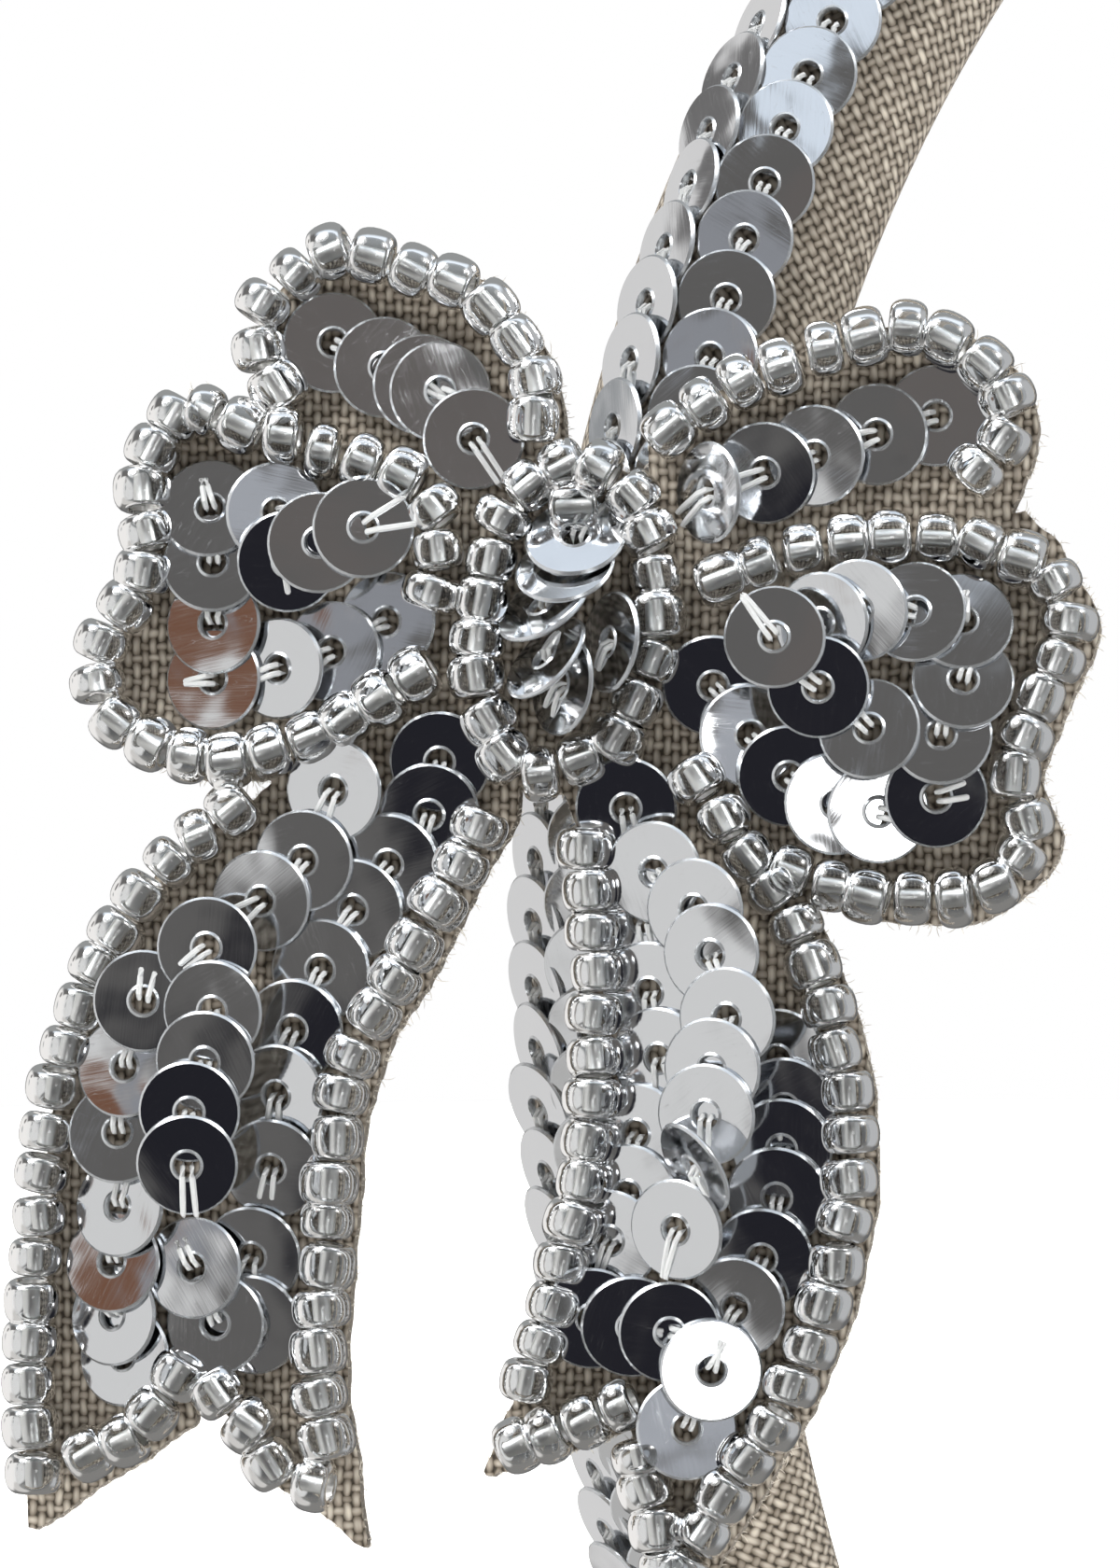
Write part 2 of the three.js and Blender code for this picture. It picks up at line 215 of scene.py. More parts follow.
# Bow, seen from its front: mm across to the right and up from the middle of the knot. Each run
# is a line of beads, rest closes the outline under the beads of the pieces beside it, inner runs
# are beads within the outline, and tips are the cloth's bare corners past the beads.
BOW_PIECES = {
    "knot": {
        "runs": [
            [(0.5, 6.4), (-2.1, 4.8), (-3.4, 1), (-3.3, -3.6), (-1.6, -6), (0, -6)],
            [(0, -6), (1.8, -5), (3.3, -2), (3.7, 1.5), (2.6, 4.7), (0.5, 6.4)],
        ],
        "rest": [],
        "inner": [[(-0.6, 4.35), (1.2, 4.4)]],
    },
    "lower_left_loop": {
        "runs": [
            [(-5.7, 0.2), (-5.2, 2.6), (-5.4, 4.4), (-7.3, 5.9), (-11, 7), (-13.2, 7.6),
             (-15.6, 8.8)],
            [(-15.6, 8.8), (-17.3, 6), (-17, 2), (-18.9, -1.2), (-18.4, -3.8), (-15, -5.5),
             (-12, -5.4), (-8.4, -3.8), (-5.3, -1.8)],
        ],
        "rest": [(-3.5, 1)],
    },
    "lower_right_loop": {
        "runs": [
            [(5.4, 1.2), (9.2, 2.7), (14.7, 3.4), (18.9, 2.3)],
            [(18.9, 2.3), (20, 0.2), (18.6, -3.5), (17.9, -6), (18.4, -9), (15.8, -11),
             (11, -10.6), (8.4, -9.6)],
        ],
        "rest": [(6, -7.2), (4.2, -4), (3.7, 0)],
        "tips": [[(15, 4), (18, 4.6), (19.3, 3.4), (19.9, 2.2), (18, 2)],
                 [(17.5, -6.2), (18.9, -6.3), (19.7, -8.3), (19.3, -9.6), (17, -9)]],
    },
    "upper_left_loop": {
        "runs": [[(-11.5, 8.5), (-12.6, 10.6), (-12.4, 12.5), (-9.7, 14.75), (-6.8, 14.05),
                  (-3.8, 12.9), (-2.2, 11), (-1.5, 9.2), (-1.4, 6.9)]],
        "rest": [(-3.6, 3.5), (-7.3, 5.9), (-12, 7.2)],
    },
    "upper_right_loop": {
        "runs": [[(3.3, 7), (7.1, 9.6), (14, 11.6), (16.6, 10.1), (17.6, 8.1), (16.6, 6.4),
                  (15.7, 5.2)]],
        "rest": [(14.7, 3.5), (9.2, 2.7), (3.7, 1)],
        "tips": [[(16.5, 9), (18.3, 8.9), (18.5, 7), (17.9, 5.6), (17.4, 4.2), (14.5, 3.5)]],
    },
    "left_tail": {
        "runs": [
            [(-12.5, -7.3), (-16.3, -10.2), (-19.7, -16.3), (-21.25, -26), (-21.3, -34.9)],
            [(-19.8, -33.8), (-17.3, -32.5), (-16.1, -31.3), (-14.9, -29.6)],
            [(-14.3, -30.2), (-12.2, -32.3), (-11.3, -33.9), (-9.1, -34.7)],
            [(-9.1, -33.4), (-9.6, -30), (-9.35, -26), (-8.4, -18), (-5.8, -13), (-3, -7.6)],
        ],
        "rest": [(-2.6, -5.4), (-5.3, -1.8), (-8.4, -3.8)],
        "tips": [[(-21.9, -32), (-21.8, -36.6), (-14.7, -31.9), (-15.5, -29.5)],
                 [(-12.5, -33), (-7.8, -37.2), (-8.4, -31.5), (-10, -30)]],
    },
    "right_tail": {
        "runs": [
            [(0.9, -8.4), (1.4, -13), (1.4, -18.5), (0.85, -23), (-0.5, -28.2), (-1.3, -31)],
            [(-2.4, -32.85), (0.8, -31.8), (3.15, -30.75)],
            [(3.1, -32.1), (3.7, -34.8), (4.5, -38.3)],
            [(4.5, -38.3), (10.2, -28.3), (11.6, -20.6), (9.8, -13.1), (5, -5.8)],
        ],
        "rest": [(3.2, -2.6), (1.8, -5), (0, -6)],
        "tips": [[(-3, -33.5), (-1.6, -30.4), (1, -31), (0.3, -32.4)]],
    },
}

# Sequins of the bow in the order they were sewn, each lapping over the one before it: mm across
# and up, and degrees that the sequin is pulled over to the right and up by its thread.
SEQUIN_RUNS = {
    "knot": [
        [(1.9, -1, -46, 11), (0, -2.7, -42, 11)],
        [(-0.6, -1.7, -34, 30), (-0.8, 0.4, -26, 36), (0, 2, -14, 34), (0.38, 3.2, -6, 29)],
    ],
    "lower_left_loop": [
        [(-7.3, -0.1, 0, 0), (-9.5, -1.3, -1, 0), (-11.6, -2, -9.5, 0), (-14.3, -2.4, 3, 0),
         (-14.3, -0.2, -9, -13), (-14.3, 2.2, 9, -5), (-14.5, 4.4, 6, 0), (-11.8, 4.2, 10.5, -6),
         (-11.2, 2.2, 0, -4), (-9.9, 2.9, 0, 0), (-8.1, 3.5, 0, 0)],
    ],
    "lower_right_loop": [
        [(5.9, -2.6, -3, -10), (7.4, -4.6, 9, 12), (9, -6.2, -9, -6), (10.9, -7.3, -2.2, 6.8),
         (12.6, -7.6, -4.7, -0.7), (14.9, -7, -12, -18), (15.1, -4.6, 0, 0), (15.9, -2.4, 0, 0),
         (15.8, 0, 0, 0), (14, 0.3, 4, 2), (11.8, 0.3, 0.5, -11), (10.3, -0.2, -10, -3)],
        [(12.3, -4.4, 6, 0), (10.3, -2.8, 8.5, -21), (8.6, -0.9, 8.5, -8)],
    ],
    "upper_left_loop": [[(-9.7, 11.1, 3, 5), (-7.6, 10.1, 0, 2), (-6, 9.4, 0, 4),
                         (-5.3, 9.1, 4.5, 3.5), (-3.9, 7.2, -4, 7)]],
    "upper_right_loop": [[(14.5, 8.3, 5, 0), (12.2, 7.5, 4, 0), (9.8, 6.6, -7, -2),
                          (7.8, 5.9, 9.5, -5.5), (5.7, 5, -40, -1)]],
    "left_tail": [
        [(-5, -5.7, 4, -7), (-5.4, -7.8, 3, -3), (-7, -9.8, 4, -1), (-8.4, -11.6, 4, 0),
         (-9.7, -14, 2, 0), (-10.8, -16.4, 6, 0), (-11.4, -19, -11, 0), (-11.6, -21.9, -2, 0),
         (-12.4, -25.4, 0, 0), (-12.4, -28.1, -2, 0)],
        [(-13.8, -28.1, 2, -6), (-14.7, -25.9, -1.5, -10.5)],
        [(-17.6, -29.4, -16, 0), (-18, -27.8, -16, 0), (-18, -25.7, -4.5, -7.7),
         (-17.7, -23.5, -22, -9.5), (-17.7, -20.6, 6, -8), (-17.4, -18, -12.5, -8.9),
         (-16.6, -15.4, 6, -18)],
        [(-9.2, -6.9, -6, 0), (-10.4, -9.7, 5, 0), (-12.1, -11.3, 8.5, 0), (-14, -13.3, 7, 0),
         (-13.7, -15.8, -7.5, 1.5), (-14, -17.8, 5, 2), (-14.6, -19.8, 15, 2),
         (-14.7, -21.9, 9, 5)],
    ],
    "right_tail": [
        [(2.5, -7.5, 0, -5), (3.3, -11.9, -22, 0), (3.6, -14.8, -22, 3), (4, -17.4, -20, 4),
         (3.1, -20.4, -15, 8), (2.8, -22.8, -18, 9), (2.1, -24.6, -14, 7)],
        [(8.7, -17.4, -19, 3), (9, -19.3, -4, 1), (8.9, -20.9, 0, 0), (8.7, -22.8, 0, 0),
         (8.1, -25.2, 0, 0), (7.1, -27.2, -11, 10)],
        [(1.4, -27.7, 0, 0), (3, -28, -3, 0), (4.5, -28.2, -3.5, 0)],
        [(5.2, -32, 11, 0), (6.2, -29.7, 5.2, 0)],
        [(3.8, -10.1, -24, -5), (5.5, -11.6, -24, -4), (6.2, -13.4, -25.5, 5),
         (6.9, -15.9, -19.5, 8), (6.3, -17.9, -12.5, 10), (6.1, -19.7, -13, 9),
         (5.7, -21.8, -50, -18), (4.9, -24.2, -14, 7)],
    ],
}


def linear(colour):
    """An sRGB hex colour as linear red, green, blue and alpha."""
    parts = [int(colour[i:i + 2], 16) / 255 for i in (1, 3, 5)]
    return (*(c / 12.92 if c <= 0.04045 else ((c + 0.055) / 1.055) ** 2.4 for c in parts), 1.0)


def add(tree, kind, inputs=None, **settings):
    """A shader node with its settings; each input is a value, or a socket to link from."""
    made = tree.nodes.new("ShaderNode" + kind)
    for key, value in settings.items():
        setattr(made, key, value)
    for key, value in (inputs or {}).items():
        if isinstance(value, bpy.types.NodeSocket):
            tree.links.new(value, made.inputs[key])
        else:
            made.inputs[key].default_value = value
    return made


def new_material(name):
    """An empty material and its node tree."""
    material = bpy.data.materials.new(name)
    material.use_nodes = True
    material.node_tree.nodes.clear()
    return material, material.node_tree


def unit(vectors):
    """Vectors cut or stretched to length one."""
    return vectors / np.linalg.norm(vectors, axis=-1, keepdims=True)


# Where the hoop stands in the frame, in mm.
band_low, band_high = (np.array(corner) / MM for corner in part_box("band"))
STAND = np.array([*(band_low + band_high)[:2] / 2, band_low[2]])
FRONT = np.array([0.0, -1.0, 0.0])


def hoop(along):
    """Middle of the band at lengths from the crown, with its outward and running directions."""
    along = np.asarray(along, float)
    side, length = np.where(along < 0, -1.0, 1.0), np.abs(along)
    crown = np.minimum(length, QUARTER_CROWN) / CROWN_RADIUS
    arm = np.clip(length - QUARTER_CROWN, 0, ARM_LENGTH) / ARM_RADIUS
    tip = np.clip(length - QUARTER_CROWN - ARM_LENGTH, 0, TIP_LENGTH) / TIP_RADIUS
    straight = np.maximum(length - HALF_HOOP + TIP_STRAIGHT, 0)
    across = (CROWN_RADIUS * np.sin(crown) - ARM_RADIUS * (1 - np.cos(arm))
              - TIP_RADIUS * (np.cos(ARM_LEAN - tip) - math.cos(ARM_LEAN)))
    up = (WIDEST_HEIGHT + CROWN_RADIUS * np.cos(crown) - ARM_RADIUS * np.sin(arm)
          - TIP_RADIUS * (math.sin(ARM_LEAN) - np.sin(ARM_LEAN - tip)) - straight)
    lean, level = crown + arm - tip, np.zeros_like(along)
    outward = np.stack([side * np.sin(lean), level, np.cos(lean)], -1)
    running = np.stack([np.cos(lean), level, -side * np.sin(lean)], -1)
    return np.stack([side * across, level, up], -1) + STAND, outward, running


# Frame of the bow: its facing, rightward and upward directions and the middle of its knot,
# which lies on the front of the cloth.
FACING = np.array([-math.cos(BOW_TURN) * math.cos(BOW_LEAN),
                   -math.sin(BOW_TURN) * math.cos(BOW_LEAN), math.sin(BOW_LEAN)])
RIGHTWARD = np.array([math.sin(BOW_TURN), -math.cos(BOW_TURN), 0.0])
UPWARD = np.cross(FACING, RIGHTWARD)
seat = hoop(-CROWN_RADIUS * math.acos(KNOT_RISE / CROWN_RADIUS))[0]
cloth_points = np.array([v.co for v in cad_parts["bow_cloth"].data.vertices]) / MM
KNOT = seat + FACING * ((cloth_points - seat) @ FACING).max() + RIGHTWARD * KNOT_SHIFT


def on_bow(across, up, height):
    """Places on the bow, which bends back to its loops and along its tails."""
    drop = np.maximum(TAIL_BEND_START - up, 0)
    height = height - across ** 2 / (2 * LOOP_BEND_RADIUS) - drop ** 2 / (2 * TAIL_BEND_RADIUS)
    return (KNOT + np.multiply.outer(across, RIGHTWARD) + np.multiply.outer(up, UPWARD)
            + np.multiply.outer(height, FACING))


def bow_axes(across, up):
    """Rightward, upward and facing directions of the bent bow at each place, as columns."""
    drop = np.maximum(TAIL_BEND_START - up, 0)
    right = unit(RIGHTWARD - np.multiply.outer(across / LOOP_BEND_RADIUS, FACING))
    facing = unit(np.cross(right, UPWARD + np.multiply.outer(drop / TAIL_BEND_RADIUS, FACING)))
    return np.stack([right, np.cross(facing, right), facing], -1)


def new_piece(name, points, faces, materials, of_face=None, corner_uv=None, crease=40):
    """A piece of the headband from points in mm, riding on its body."""
    mesh = bpy.data.meshes.new(name)
    mesh.from_pydata((np.asarray(points) * MM).tolist(), [], [list(f) for f in faces])
    for material in materials:
        mesh.materials.append(material)
    if of_face is not None:
        mesh.polygons.foreach_set("material_index", np.asarray(of_face, np.int32))
    if corner_uv is not None:
        layer = mesh.uv_layers.new(name="mm")
        layer.uv.foreach_set("vector", np.asarray(corner_uv, np.float32).ravel())
    mesh.shade_smooth()
    mesh.set_sharp_from_angle(angle=math.radians(crease))
    piece = bpy.data.objects.new(name, mesh)
    bpy.context.collection.objects.link(piece)
    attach(piece, "root")
    return piece


def skin(rings, sides):
    """Four-cornered faces between rings of points that each close on themselves."""
    ring, side = np.meshgrid(np.arange(rings - 1), np.arange(sides), indexing="ij")
    after = (side + 1) % sides
    corners = [ring * sides + side, ring * sides + after,
               (ring + 1) * sides + after, (ring + 1) * sides + side]
    return np.stack(corners, -1).reshape(-1, 4)


def lathe(profile, around):
    """A closed profile of radius and height turned about its axis."""
    turns = np.linspace(0, 2 * math.pi, around, endpoint=False)
    radius, height = np.array(profile).T
    points = np.stack([np.outer(np.cos(turns), radius), np.outer(np.sin(turns), radius),
                       np.broadcast_to(height, (around, len(profile)))], -1)
    faces = skin(around + 1, len(profile)) % (around * len(profile))
    return points.reshape(-1, 3), faces


def repeated(points, faces, axes, origins):
    """Copies of a shape, each with its own points, axes (as columns) and origin, as one mesh."""
    moved = np.einsum("nij,npj->npi", axes, points) + origins[:, None]
    shift = np.arange(len(origins)) * points.shape[1]
    return moved.reshape(-1, 3), (faces + shift[:, None, None]).reshape(-1, 4)


def strands(paths, radius, sides):
    """Round strands along paths of equal point count, drawn to a point at both ends."""
    paths = np.asarray(paths, float)
    running = unit(np.gradient(paths, axis=1))
    aslant = np.array([0.31, 0.52, 0.79])
    aside = unit(np.cross(running, aslant))
    over = np.cross(running, aside)
    taper = np.full(paths.shape[1], radius)
    taper[[0, -1]] = radius * STRAND_POINT
    turns = np.linspace(0, 2 * math.pi, sides, endpoint=False)
    ring = aside[:, :, None] * np.cos(turns)[:, None] + over[:, :, None] * np.sin(turns)[:, None]
    points = paths[:, :, None] + ring * taper[:, None, None]
    faces = skin(paths.shape[1], sides)
    shift = np.arange(len(paths)) * paths.shape[1] * sides
    return points.reshape(-1, 3), (faces + shift[:, None, None]).reshape(-1, 4)


def smooth_line(corners, step=0.05):
    """Places a short step apart along a smooth line through the corners."""
    corners = np.array(corners, float)
    ends = np.vstack([2 * corners[0] - corners[1], corners, 2 * corners[-1] - corners[-2]])
    line = []
    for a, b, c, d in zip(ends, ends[1:], ends[2:], ends[3:]):
        ab, bc, cd = (math.sqrt(np.linalg.norm(q - p)) for p, q in ((a, b), (b, c), (c, d)))
        leave = ((b - a) / ab - (c - a) / (ab + bc) + (c - b) / bc) * bc
        arrive = ((c - b) / bc - (d - b) / (bc + cd) + (d - c) / cd) * bc
        t = np.linspace(0, 1, max(2, round(np.linalg.norm(c - b) / step)), endpoint=False)[:, None]
        line.append(b + t * leave + t ** 2 * (3 * (c - b) - 2 * leave - arrive)
                    + t ** 3 * (2 * (b - c) + leave + arrive))
    return np.vstack([*line, corners[-1:]])


def spaced(line, pitch, near=0.1):
    """Evenly spaced middles along a line at about the pitch, with the line's directions there."""
    travelled = np.concatenate([[0], np.cumsum(np.linalg.norm(np.diff(line, axis=0), axis=1))])
    count = max(1, round(travelled[-1] / pitch))
    stops = (np.arange(count) + 0.5) * travelled[-1] / count
    at = np.stack([np.interp(stops, travelled, line[:, k]) for k in (0, 1)], -1)
    ahead = np.stack([np.interp(stops + near, travelled, line[:, k]) for k in (0, 1)], -1)
    behind = np.stack([np.interp(stops - near, travelled, line[:, k]) for k in (0, 1)], -1)
    return at, unit(ahead - behind)


# Plain-weave linen: dull beige-grey yarns crossing over and under, pale along the warp, with
# paler and darker slubs along each yarn, and painted shade: dark gaps between yarns, pale crowns.
linen, tree = new_material("plain_weave_linen")
place = add(tree, "UVMap", uv_map="mm").outputs[0]
drift = add(tree, "TexNoise", {"Vector": place, "Scale": 1 / WANDER_LENGTH,
                               "Detail": 2.0}).outputs["Color"]
yarns = add(tree, "VectorMath", {0: place, 1: (1 / WARP_PITCH, 1 / WEFT_PITCH, 0)},
            operation="MULTIPLY").outputs[0]
yarns = add(tree, "VectorMath", {0: drift, 1: (WANDER_YARNS, WANDER_YARNS, 0), 2: yarns},
            operation="MULTIPLY_ADD").outputs[0]
warp_over = add(tree, "TexChecker", {"Vector": yarns, "Scale": 1.0}).outputs["Fac"]
swing = add(tree, "Math", {0: warp_over, 1: 1.0, 2: -0.5}, operation="MULTIPLY_ADD").outputs[0]
cell = add(tree, "VectorMath", {0: yarns}, operation="FRACTION").outputs[0]
offset = add(tree, "VectorMath", {0: cell, 1: (2, 2, 0), 2: (-1, -1, 0)},
             operation="MULTIPLY_ADD").outputs[0]
square = add(tree, "VectorMath", {0: offset, 1: offset}, operation="MULTIPLY").outputs[0]
body = add(tree, "VectorMath", {0: square, 1: (-0.5 / WARP_COVER ** 2, -0.5 / WEFT_COVER ** 2, 0),
                                2: (0.5, 0.5, 0)}, operation="MULTIPLY_ADD").outputs[0]
wave = add(tree, "VectorMath", {0: square, 1: (-1, -1, 0), 2: (1, 1, 0)},
           operation="MULTIPLY_ADD").outputs[0]
body, wave = (add(tree, "SeparateXYZ", {0: pair}).outputs for pair in (body, wave))
warp = add(tree, "Math", {0: wave[1], 1: swing, 2: body[0]}, operation="MULTIPLY_ADD").outputs[0]
dip = add(tree, "Math", {0: wave[0], 1: swing}, operation="MULTIPLY").outputs[0]
weft = add(tree, "Math", {0: body[1], 1: dip}, operation="SUBTRACT").outputs[0]
relief = add(tree, "Math", {0: warp, 1: weft}, operation="MAXIMUM").outputs[0]
on_warp = add(tree, "Math", {0: warp, 1: weft}, operation="GREATER_THAN").outputs[0]
weft_slub, warp_slub = (
    add(tree, "VectorMath", {0: yarns, 1: stretch}, operation="MULTIPLY").outputs[0]
    for stretch in ((SLUB_ALONG, SLUB_ACROSS, 1), (SLUB_ACROSS, SLUB_ALONG, 1)))
weft_slub, warp_slub = (
    add(tree, "TexNoise", {"Vector": slub, "Scale": 1.0, "Detail": 3.0}).outputs["Fac"]
    for slub in (weft_slub, warp_slub))
slub = add(tree, "Mix", {"Factor": on_warp, "A": weft_slub, "B": warp_slub}).outputs[0]
tone = add(tree, "Math", {0: slub, 1: SLUB_TONE, 2: TONE_FLOOR},
           operation="MULTIPLY_ADD").outputs[0]
tone = add(tree, "Math", {0: on_warp, 1: WARP_TONE, 2: tone}, operation="MULTIPLY_ADD").outputs[0]
# Painted shade: the relief of the yarns darkens the gaps between them and lightens their crowns.
tone = add(tree, "Math", {0: relief, 1: RELIEF_PAINTED_SHADE, 2: tone}, operation="MULTIPLY_ADD").outputs[0]
ramp = add(tree, "ValToRGB", {"Fac": tone})
# The ramp's darkest stops are reached mostly in the painted shade of the gaps between yarns.
for stop, colour in ((0, "#3a3228"), (1, "#cac1b1")):
    ramp.color_ramp.elements[stop].color = linear(colour)
for stop, colour in ((0.22, "#6b6153"), (0.55, "#958b7e")):
    ramp.color_ramp.elements.new(stop).color = linear(colour)
bump = add(tree, "Bump", {"Height": relief, "Distance": YARN_RELIEF * MM,
                          "Strength": 0.6}).outputs[0]
shader = add(tree, "BsdfPrincipled", {"Base Color": ramp.outputs[0], "Roughness": 0.9,
                                      "Normal": bump, "Sheen Weight": 0.1})
add(tree, "OutputMaterial", {"Surface": shader.outputs[0]})

# Loose linen fibre: pale and dull.
fibre, tree = new_material("loose_linen_fibre")
shader = add(tree, "BsdfPrincipled", {"Base Color": linear("#d8d0c2"), "Roughness": 0.8})
add(tree, "OutputMaterial", {"Surface": shader.outputs[0]})

# Metallised polyester film, punched into washers: a silver mirror with faint rolling lines and
# soft waves that bend what it reflects.
mirror_film, tree = new_material("metallised_polyester_film")
place = add(tree, "UVMap", uv_map="mm").outputs[0]
lines = add(tree, "VectorMath", {0: place, 1: ROLLING_LINES}, operation="MULTIPLY").outputs[0]
lines = add(tree, "TexNoise", {"Vector": lines, "Scale": 1.0, "Detail": 3.0}).outputs["Fac"]
waves = add(tree, "TexNoise", {"Vector": place, "Scale": FILM_WAVES, "Detail": 1.0}).outputs["Fac"]
bump = add(tree, "Bump", {"Height": waves, "Distance": WAVE_RELIEF * MM}).outputs[0]
bump = add(tree, "Bump", {"Height": lines, "Distance": LINE_RELIEF * MM, "Normal": bump}).outputs[0]
scratch = add(tree, "VectorMath", {0: place, 1: SCRATCHES}, operation="MULTIPLY").outputs[0]
scratch = add(tree, "TexNoise", {"Vector": scratch, "Scale": 1.0, "Detail": 2.0}).outputs["Fac"]
scratch = add(tree, "Math", {0: scratch, 1: SCRATCH_MIDDLE, 2: SCRATCH_NEAR},
              operation="COMPARE").outputs[0]
rough = add(tree, "Math", {0: lines, 1: LINE_ROUGHNESS, 2: FILM_ROUGHNESS},
            operation="MULTIPLY_ADD").outputs[0]
rough = add(tree, "Math", {0: scratch, 1: SCRATCH_ROUGHNESS, 2: rough},
            operation="MULTIPLY_ADD").outputs[0]
shader = add(tree, "BsdfPrincipled", {"Base Color": linear("#dcdee1"), "Metallic": 1.0,
                                      "Roughness": rough, "Normal": bump})
add(tree, "OutputMaterial", {"Surface": shader.outputs[0]})

# The cut edge of the film, where the clear lacquer over the metal shows as a pale glassy line.
film_edge, tree = new_material("cut_polyester_film_edge")
shader = add(tree, "BsdfPrincipled", {"Base Color": linear("#cdd0d3"), "Roughness": 0.25,
                                      "Metallic": 0.85})
add(tree, "OutputMaterial", {"Surface": shader.outputs[0]})

# Drawn clear glass, smooth and bright, that magnifies the silvered bore inside it.
bead_glass, tree = new_material("drawn_clear_glass")
shader = add(tree, "BsdfPrincipled", {"Base Color": linear("#e9ecee"), "Roughness": 0.03,
                                      "IOR": 1.52, "Transmission Weight": 1.0})
add(tree, "OutputMaterial", {"Surface": shader.outputs[0]})

# Silver lining, deposited in the bore: a bright mirror, a little grainy.
bead_lining, tree = new_material("silvered_bore")
shader = add(tree, "BsdfPrincipled", {"Base Color": linear("#f4f3f0"), "Metallic": 1.0,
                                      "Roughness": 0.4})
add(tree, "OutputMaterial", {"Surface": shader.outputs[0]})

# Clear nylon monofilament: a thin glassy strand that catches a white line of light.
nylon, tree = new_material("clear_nylon_monofilament")
shader = add(tree, "BsdfPrincipled", {"Base Color": linear("#fafbfa"), "Roughness": 0.2,
                                      "IOR": 1.53, "Transmission Weight": 0.45})
add(tree, "OutputMaterial", {"Surface": shader.outputs[0]})


def make_band():
    """The padded band, its cloth wrapped round it and lapped along the inside."""
    turn = np.linspace(0, 2 * math.pi, BAND_SIDES, endpoint=False) + math.pi / 2
    depth = np.sin(turn)
    front = BAND_WIDTH / 2 * np.cos(turn)
    inward = np.where(depth > 0, BAND_BACK * np.abs(depth) ** BAND_BACK_FLATNESS, BAND_DOME * depth)
    lap = np.clip(1 - np.abs(front - SEAM_WIDTH / 2) / (SEAM_WIDTH / 2), 0, 1)
    inward = inward + np.where(depth > 0, SEAM_RISE * np.clip(lap / SEAM_FLANK, 0, 1), 0)
    girth = np.hypot(np.diff(front, append=front[0]), np.diff(inward, append=inward[0]))
    around = np.concatenate([[0], np.cumsum(girth)])
    close = np.array(TIP_RINGS) * TIP_ROUNDING
    open_run = np.linspace(TIP_ROUNDING, 2 * HALF_HOOP - TIP_ROUNDING, BAND_STEPS)
    lengths = np.concatenate([close, open_run, 2 * HALF_HOOP - close[::-1]]) - HALF_HOOP
    to_end = np.clip((HALF_HOOP - np.abs(lengths)) / TIP_ROUNDING, 0, 1)
    inset = TIP_ROUNDING * (1 - np.sqrt(1 - (1 - to_end) ** 2))
    middle, outward, _ = hoop(lengths)
    wide, deep = 1 - inset / (BAND_WIDTH / 2), 1 - inset / BAND_DOME
    points = (middle[:, None] + (wide[:, None] * front)[..., None] * FRONT
              - (deep[:, None] * inward)[..., None] * outward[:, None])
    faces = skin(len(lengths), BAND_SIDES)
    ring, side = np.divmod(np.arange(len(faces)), BAND_SIDES)
    corner_uv = np.stack([np.stack([lengths[ring + a], around[side + b]], -1)
                          for a, b in ((0, 0), (0, 1), (1, 1), (1, 0))], 1).reshape(-1, 2)
    slant, rise = math.cos(BAND_BIAS), math.sin(BAND_BIAS)
    corner_uv = corner_uv @ np.array([[slant, rise], [-rise, slant]])
    last = (len(lengths) - 1) * BAND_SIDES
    ends = [range(BAND_SIDES - 1, -1, -1), range(last, last + BAND_SIDES)]
    end_uv = np.tile(np.stack([front, inward], -1), (2, 1))
    return new_piece("wrapped_band", points.reshape(-1, 3), [*faces, *ends], [linen],
                     corner_uv=np.vstack([corner_uv, end_uv]))


def sequin_profile():
    """Section of a punched washer, from its hole out over the top and back underneath."""
    half, bevel = SEQUIN_THICKNESS / 2, SEQUIN_BEVEL
    face = np.linspace(SEQUIN_HOLE + SEQUIN_LIP, SEQUIN_RADIUS - bevel, 4)
    return [*((r, half) for r in face),
            (SEQUIN_RADIUS, half - bevel), (SEQUIN_RADIUS, bevel - half),
            (face[-1], -half), (face[0], -half), (SEQUIN_HOLE, -half), (SEQUIN_HOLE, half - bevel),
            (SEQUIN_HOLE + SEQUIN_LIP * LIP_PEAK[0], half + bevel * LIP_PEAK[1])]


SEQUIN_POINTS, SEQUIN_FACES = lathe(sequin_profile(), SEQUIN_SIDES)
# The flat film is the strips between the first four points and between the two underneath.
SEQUIN_STRIP = np.arange(len(SEQUIN_FACES)) % len(sequin_profile())
SEQUIN_EDGE = ~np.isin(SEQUIN_STRIP, (0, 1, 2, 6))


def make_sequins(name, origins, axes):
    """Sequins at their places, each turned about its hole and bent a little out of flat."""
    count = len(origins)
    spin = chance.uniform(0, 2 * math.pi, count)[:, None]
    x, y, z = (SEQUIN_POINTS[:, k] for k in range(3))
    cup = chance.normal(CUP, CUP_SPREAD, count)[:, None]
    saddle = chance.normal(0, SADDLE_SPREAD, count)[:, None]
    high = z + cup * (x ** 2 + y ** 2 - CUP_LEVEL) + saddle * (x ** 2 - y ** 2)
    turned_x = x * np.cos(spin) - y * np.sin(spin)
    turned_y = x * np.sin(spin) + y * np.cos(spin)
    shapes = np.stack([turned_x, turned_y, high], -1)
    points, faces = repeated(shapes, SEQUIN_FACES, axes, origins)
    flat = SEQUIN_POINTS[SEQUIN_FACES.ravel(), :2]
    spots = chance.uniform(0, FILM_ROLL, (count, 1, 2))
    return new_piece(name, points, faces, [mirror_film, film_edge], np.tile(SEQUIN_EDGE, count),
                     (flat + spots).reshape(-1, 2), crease=25)


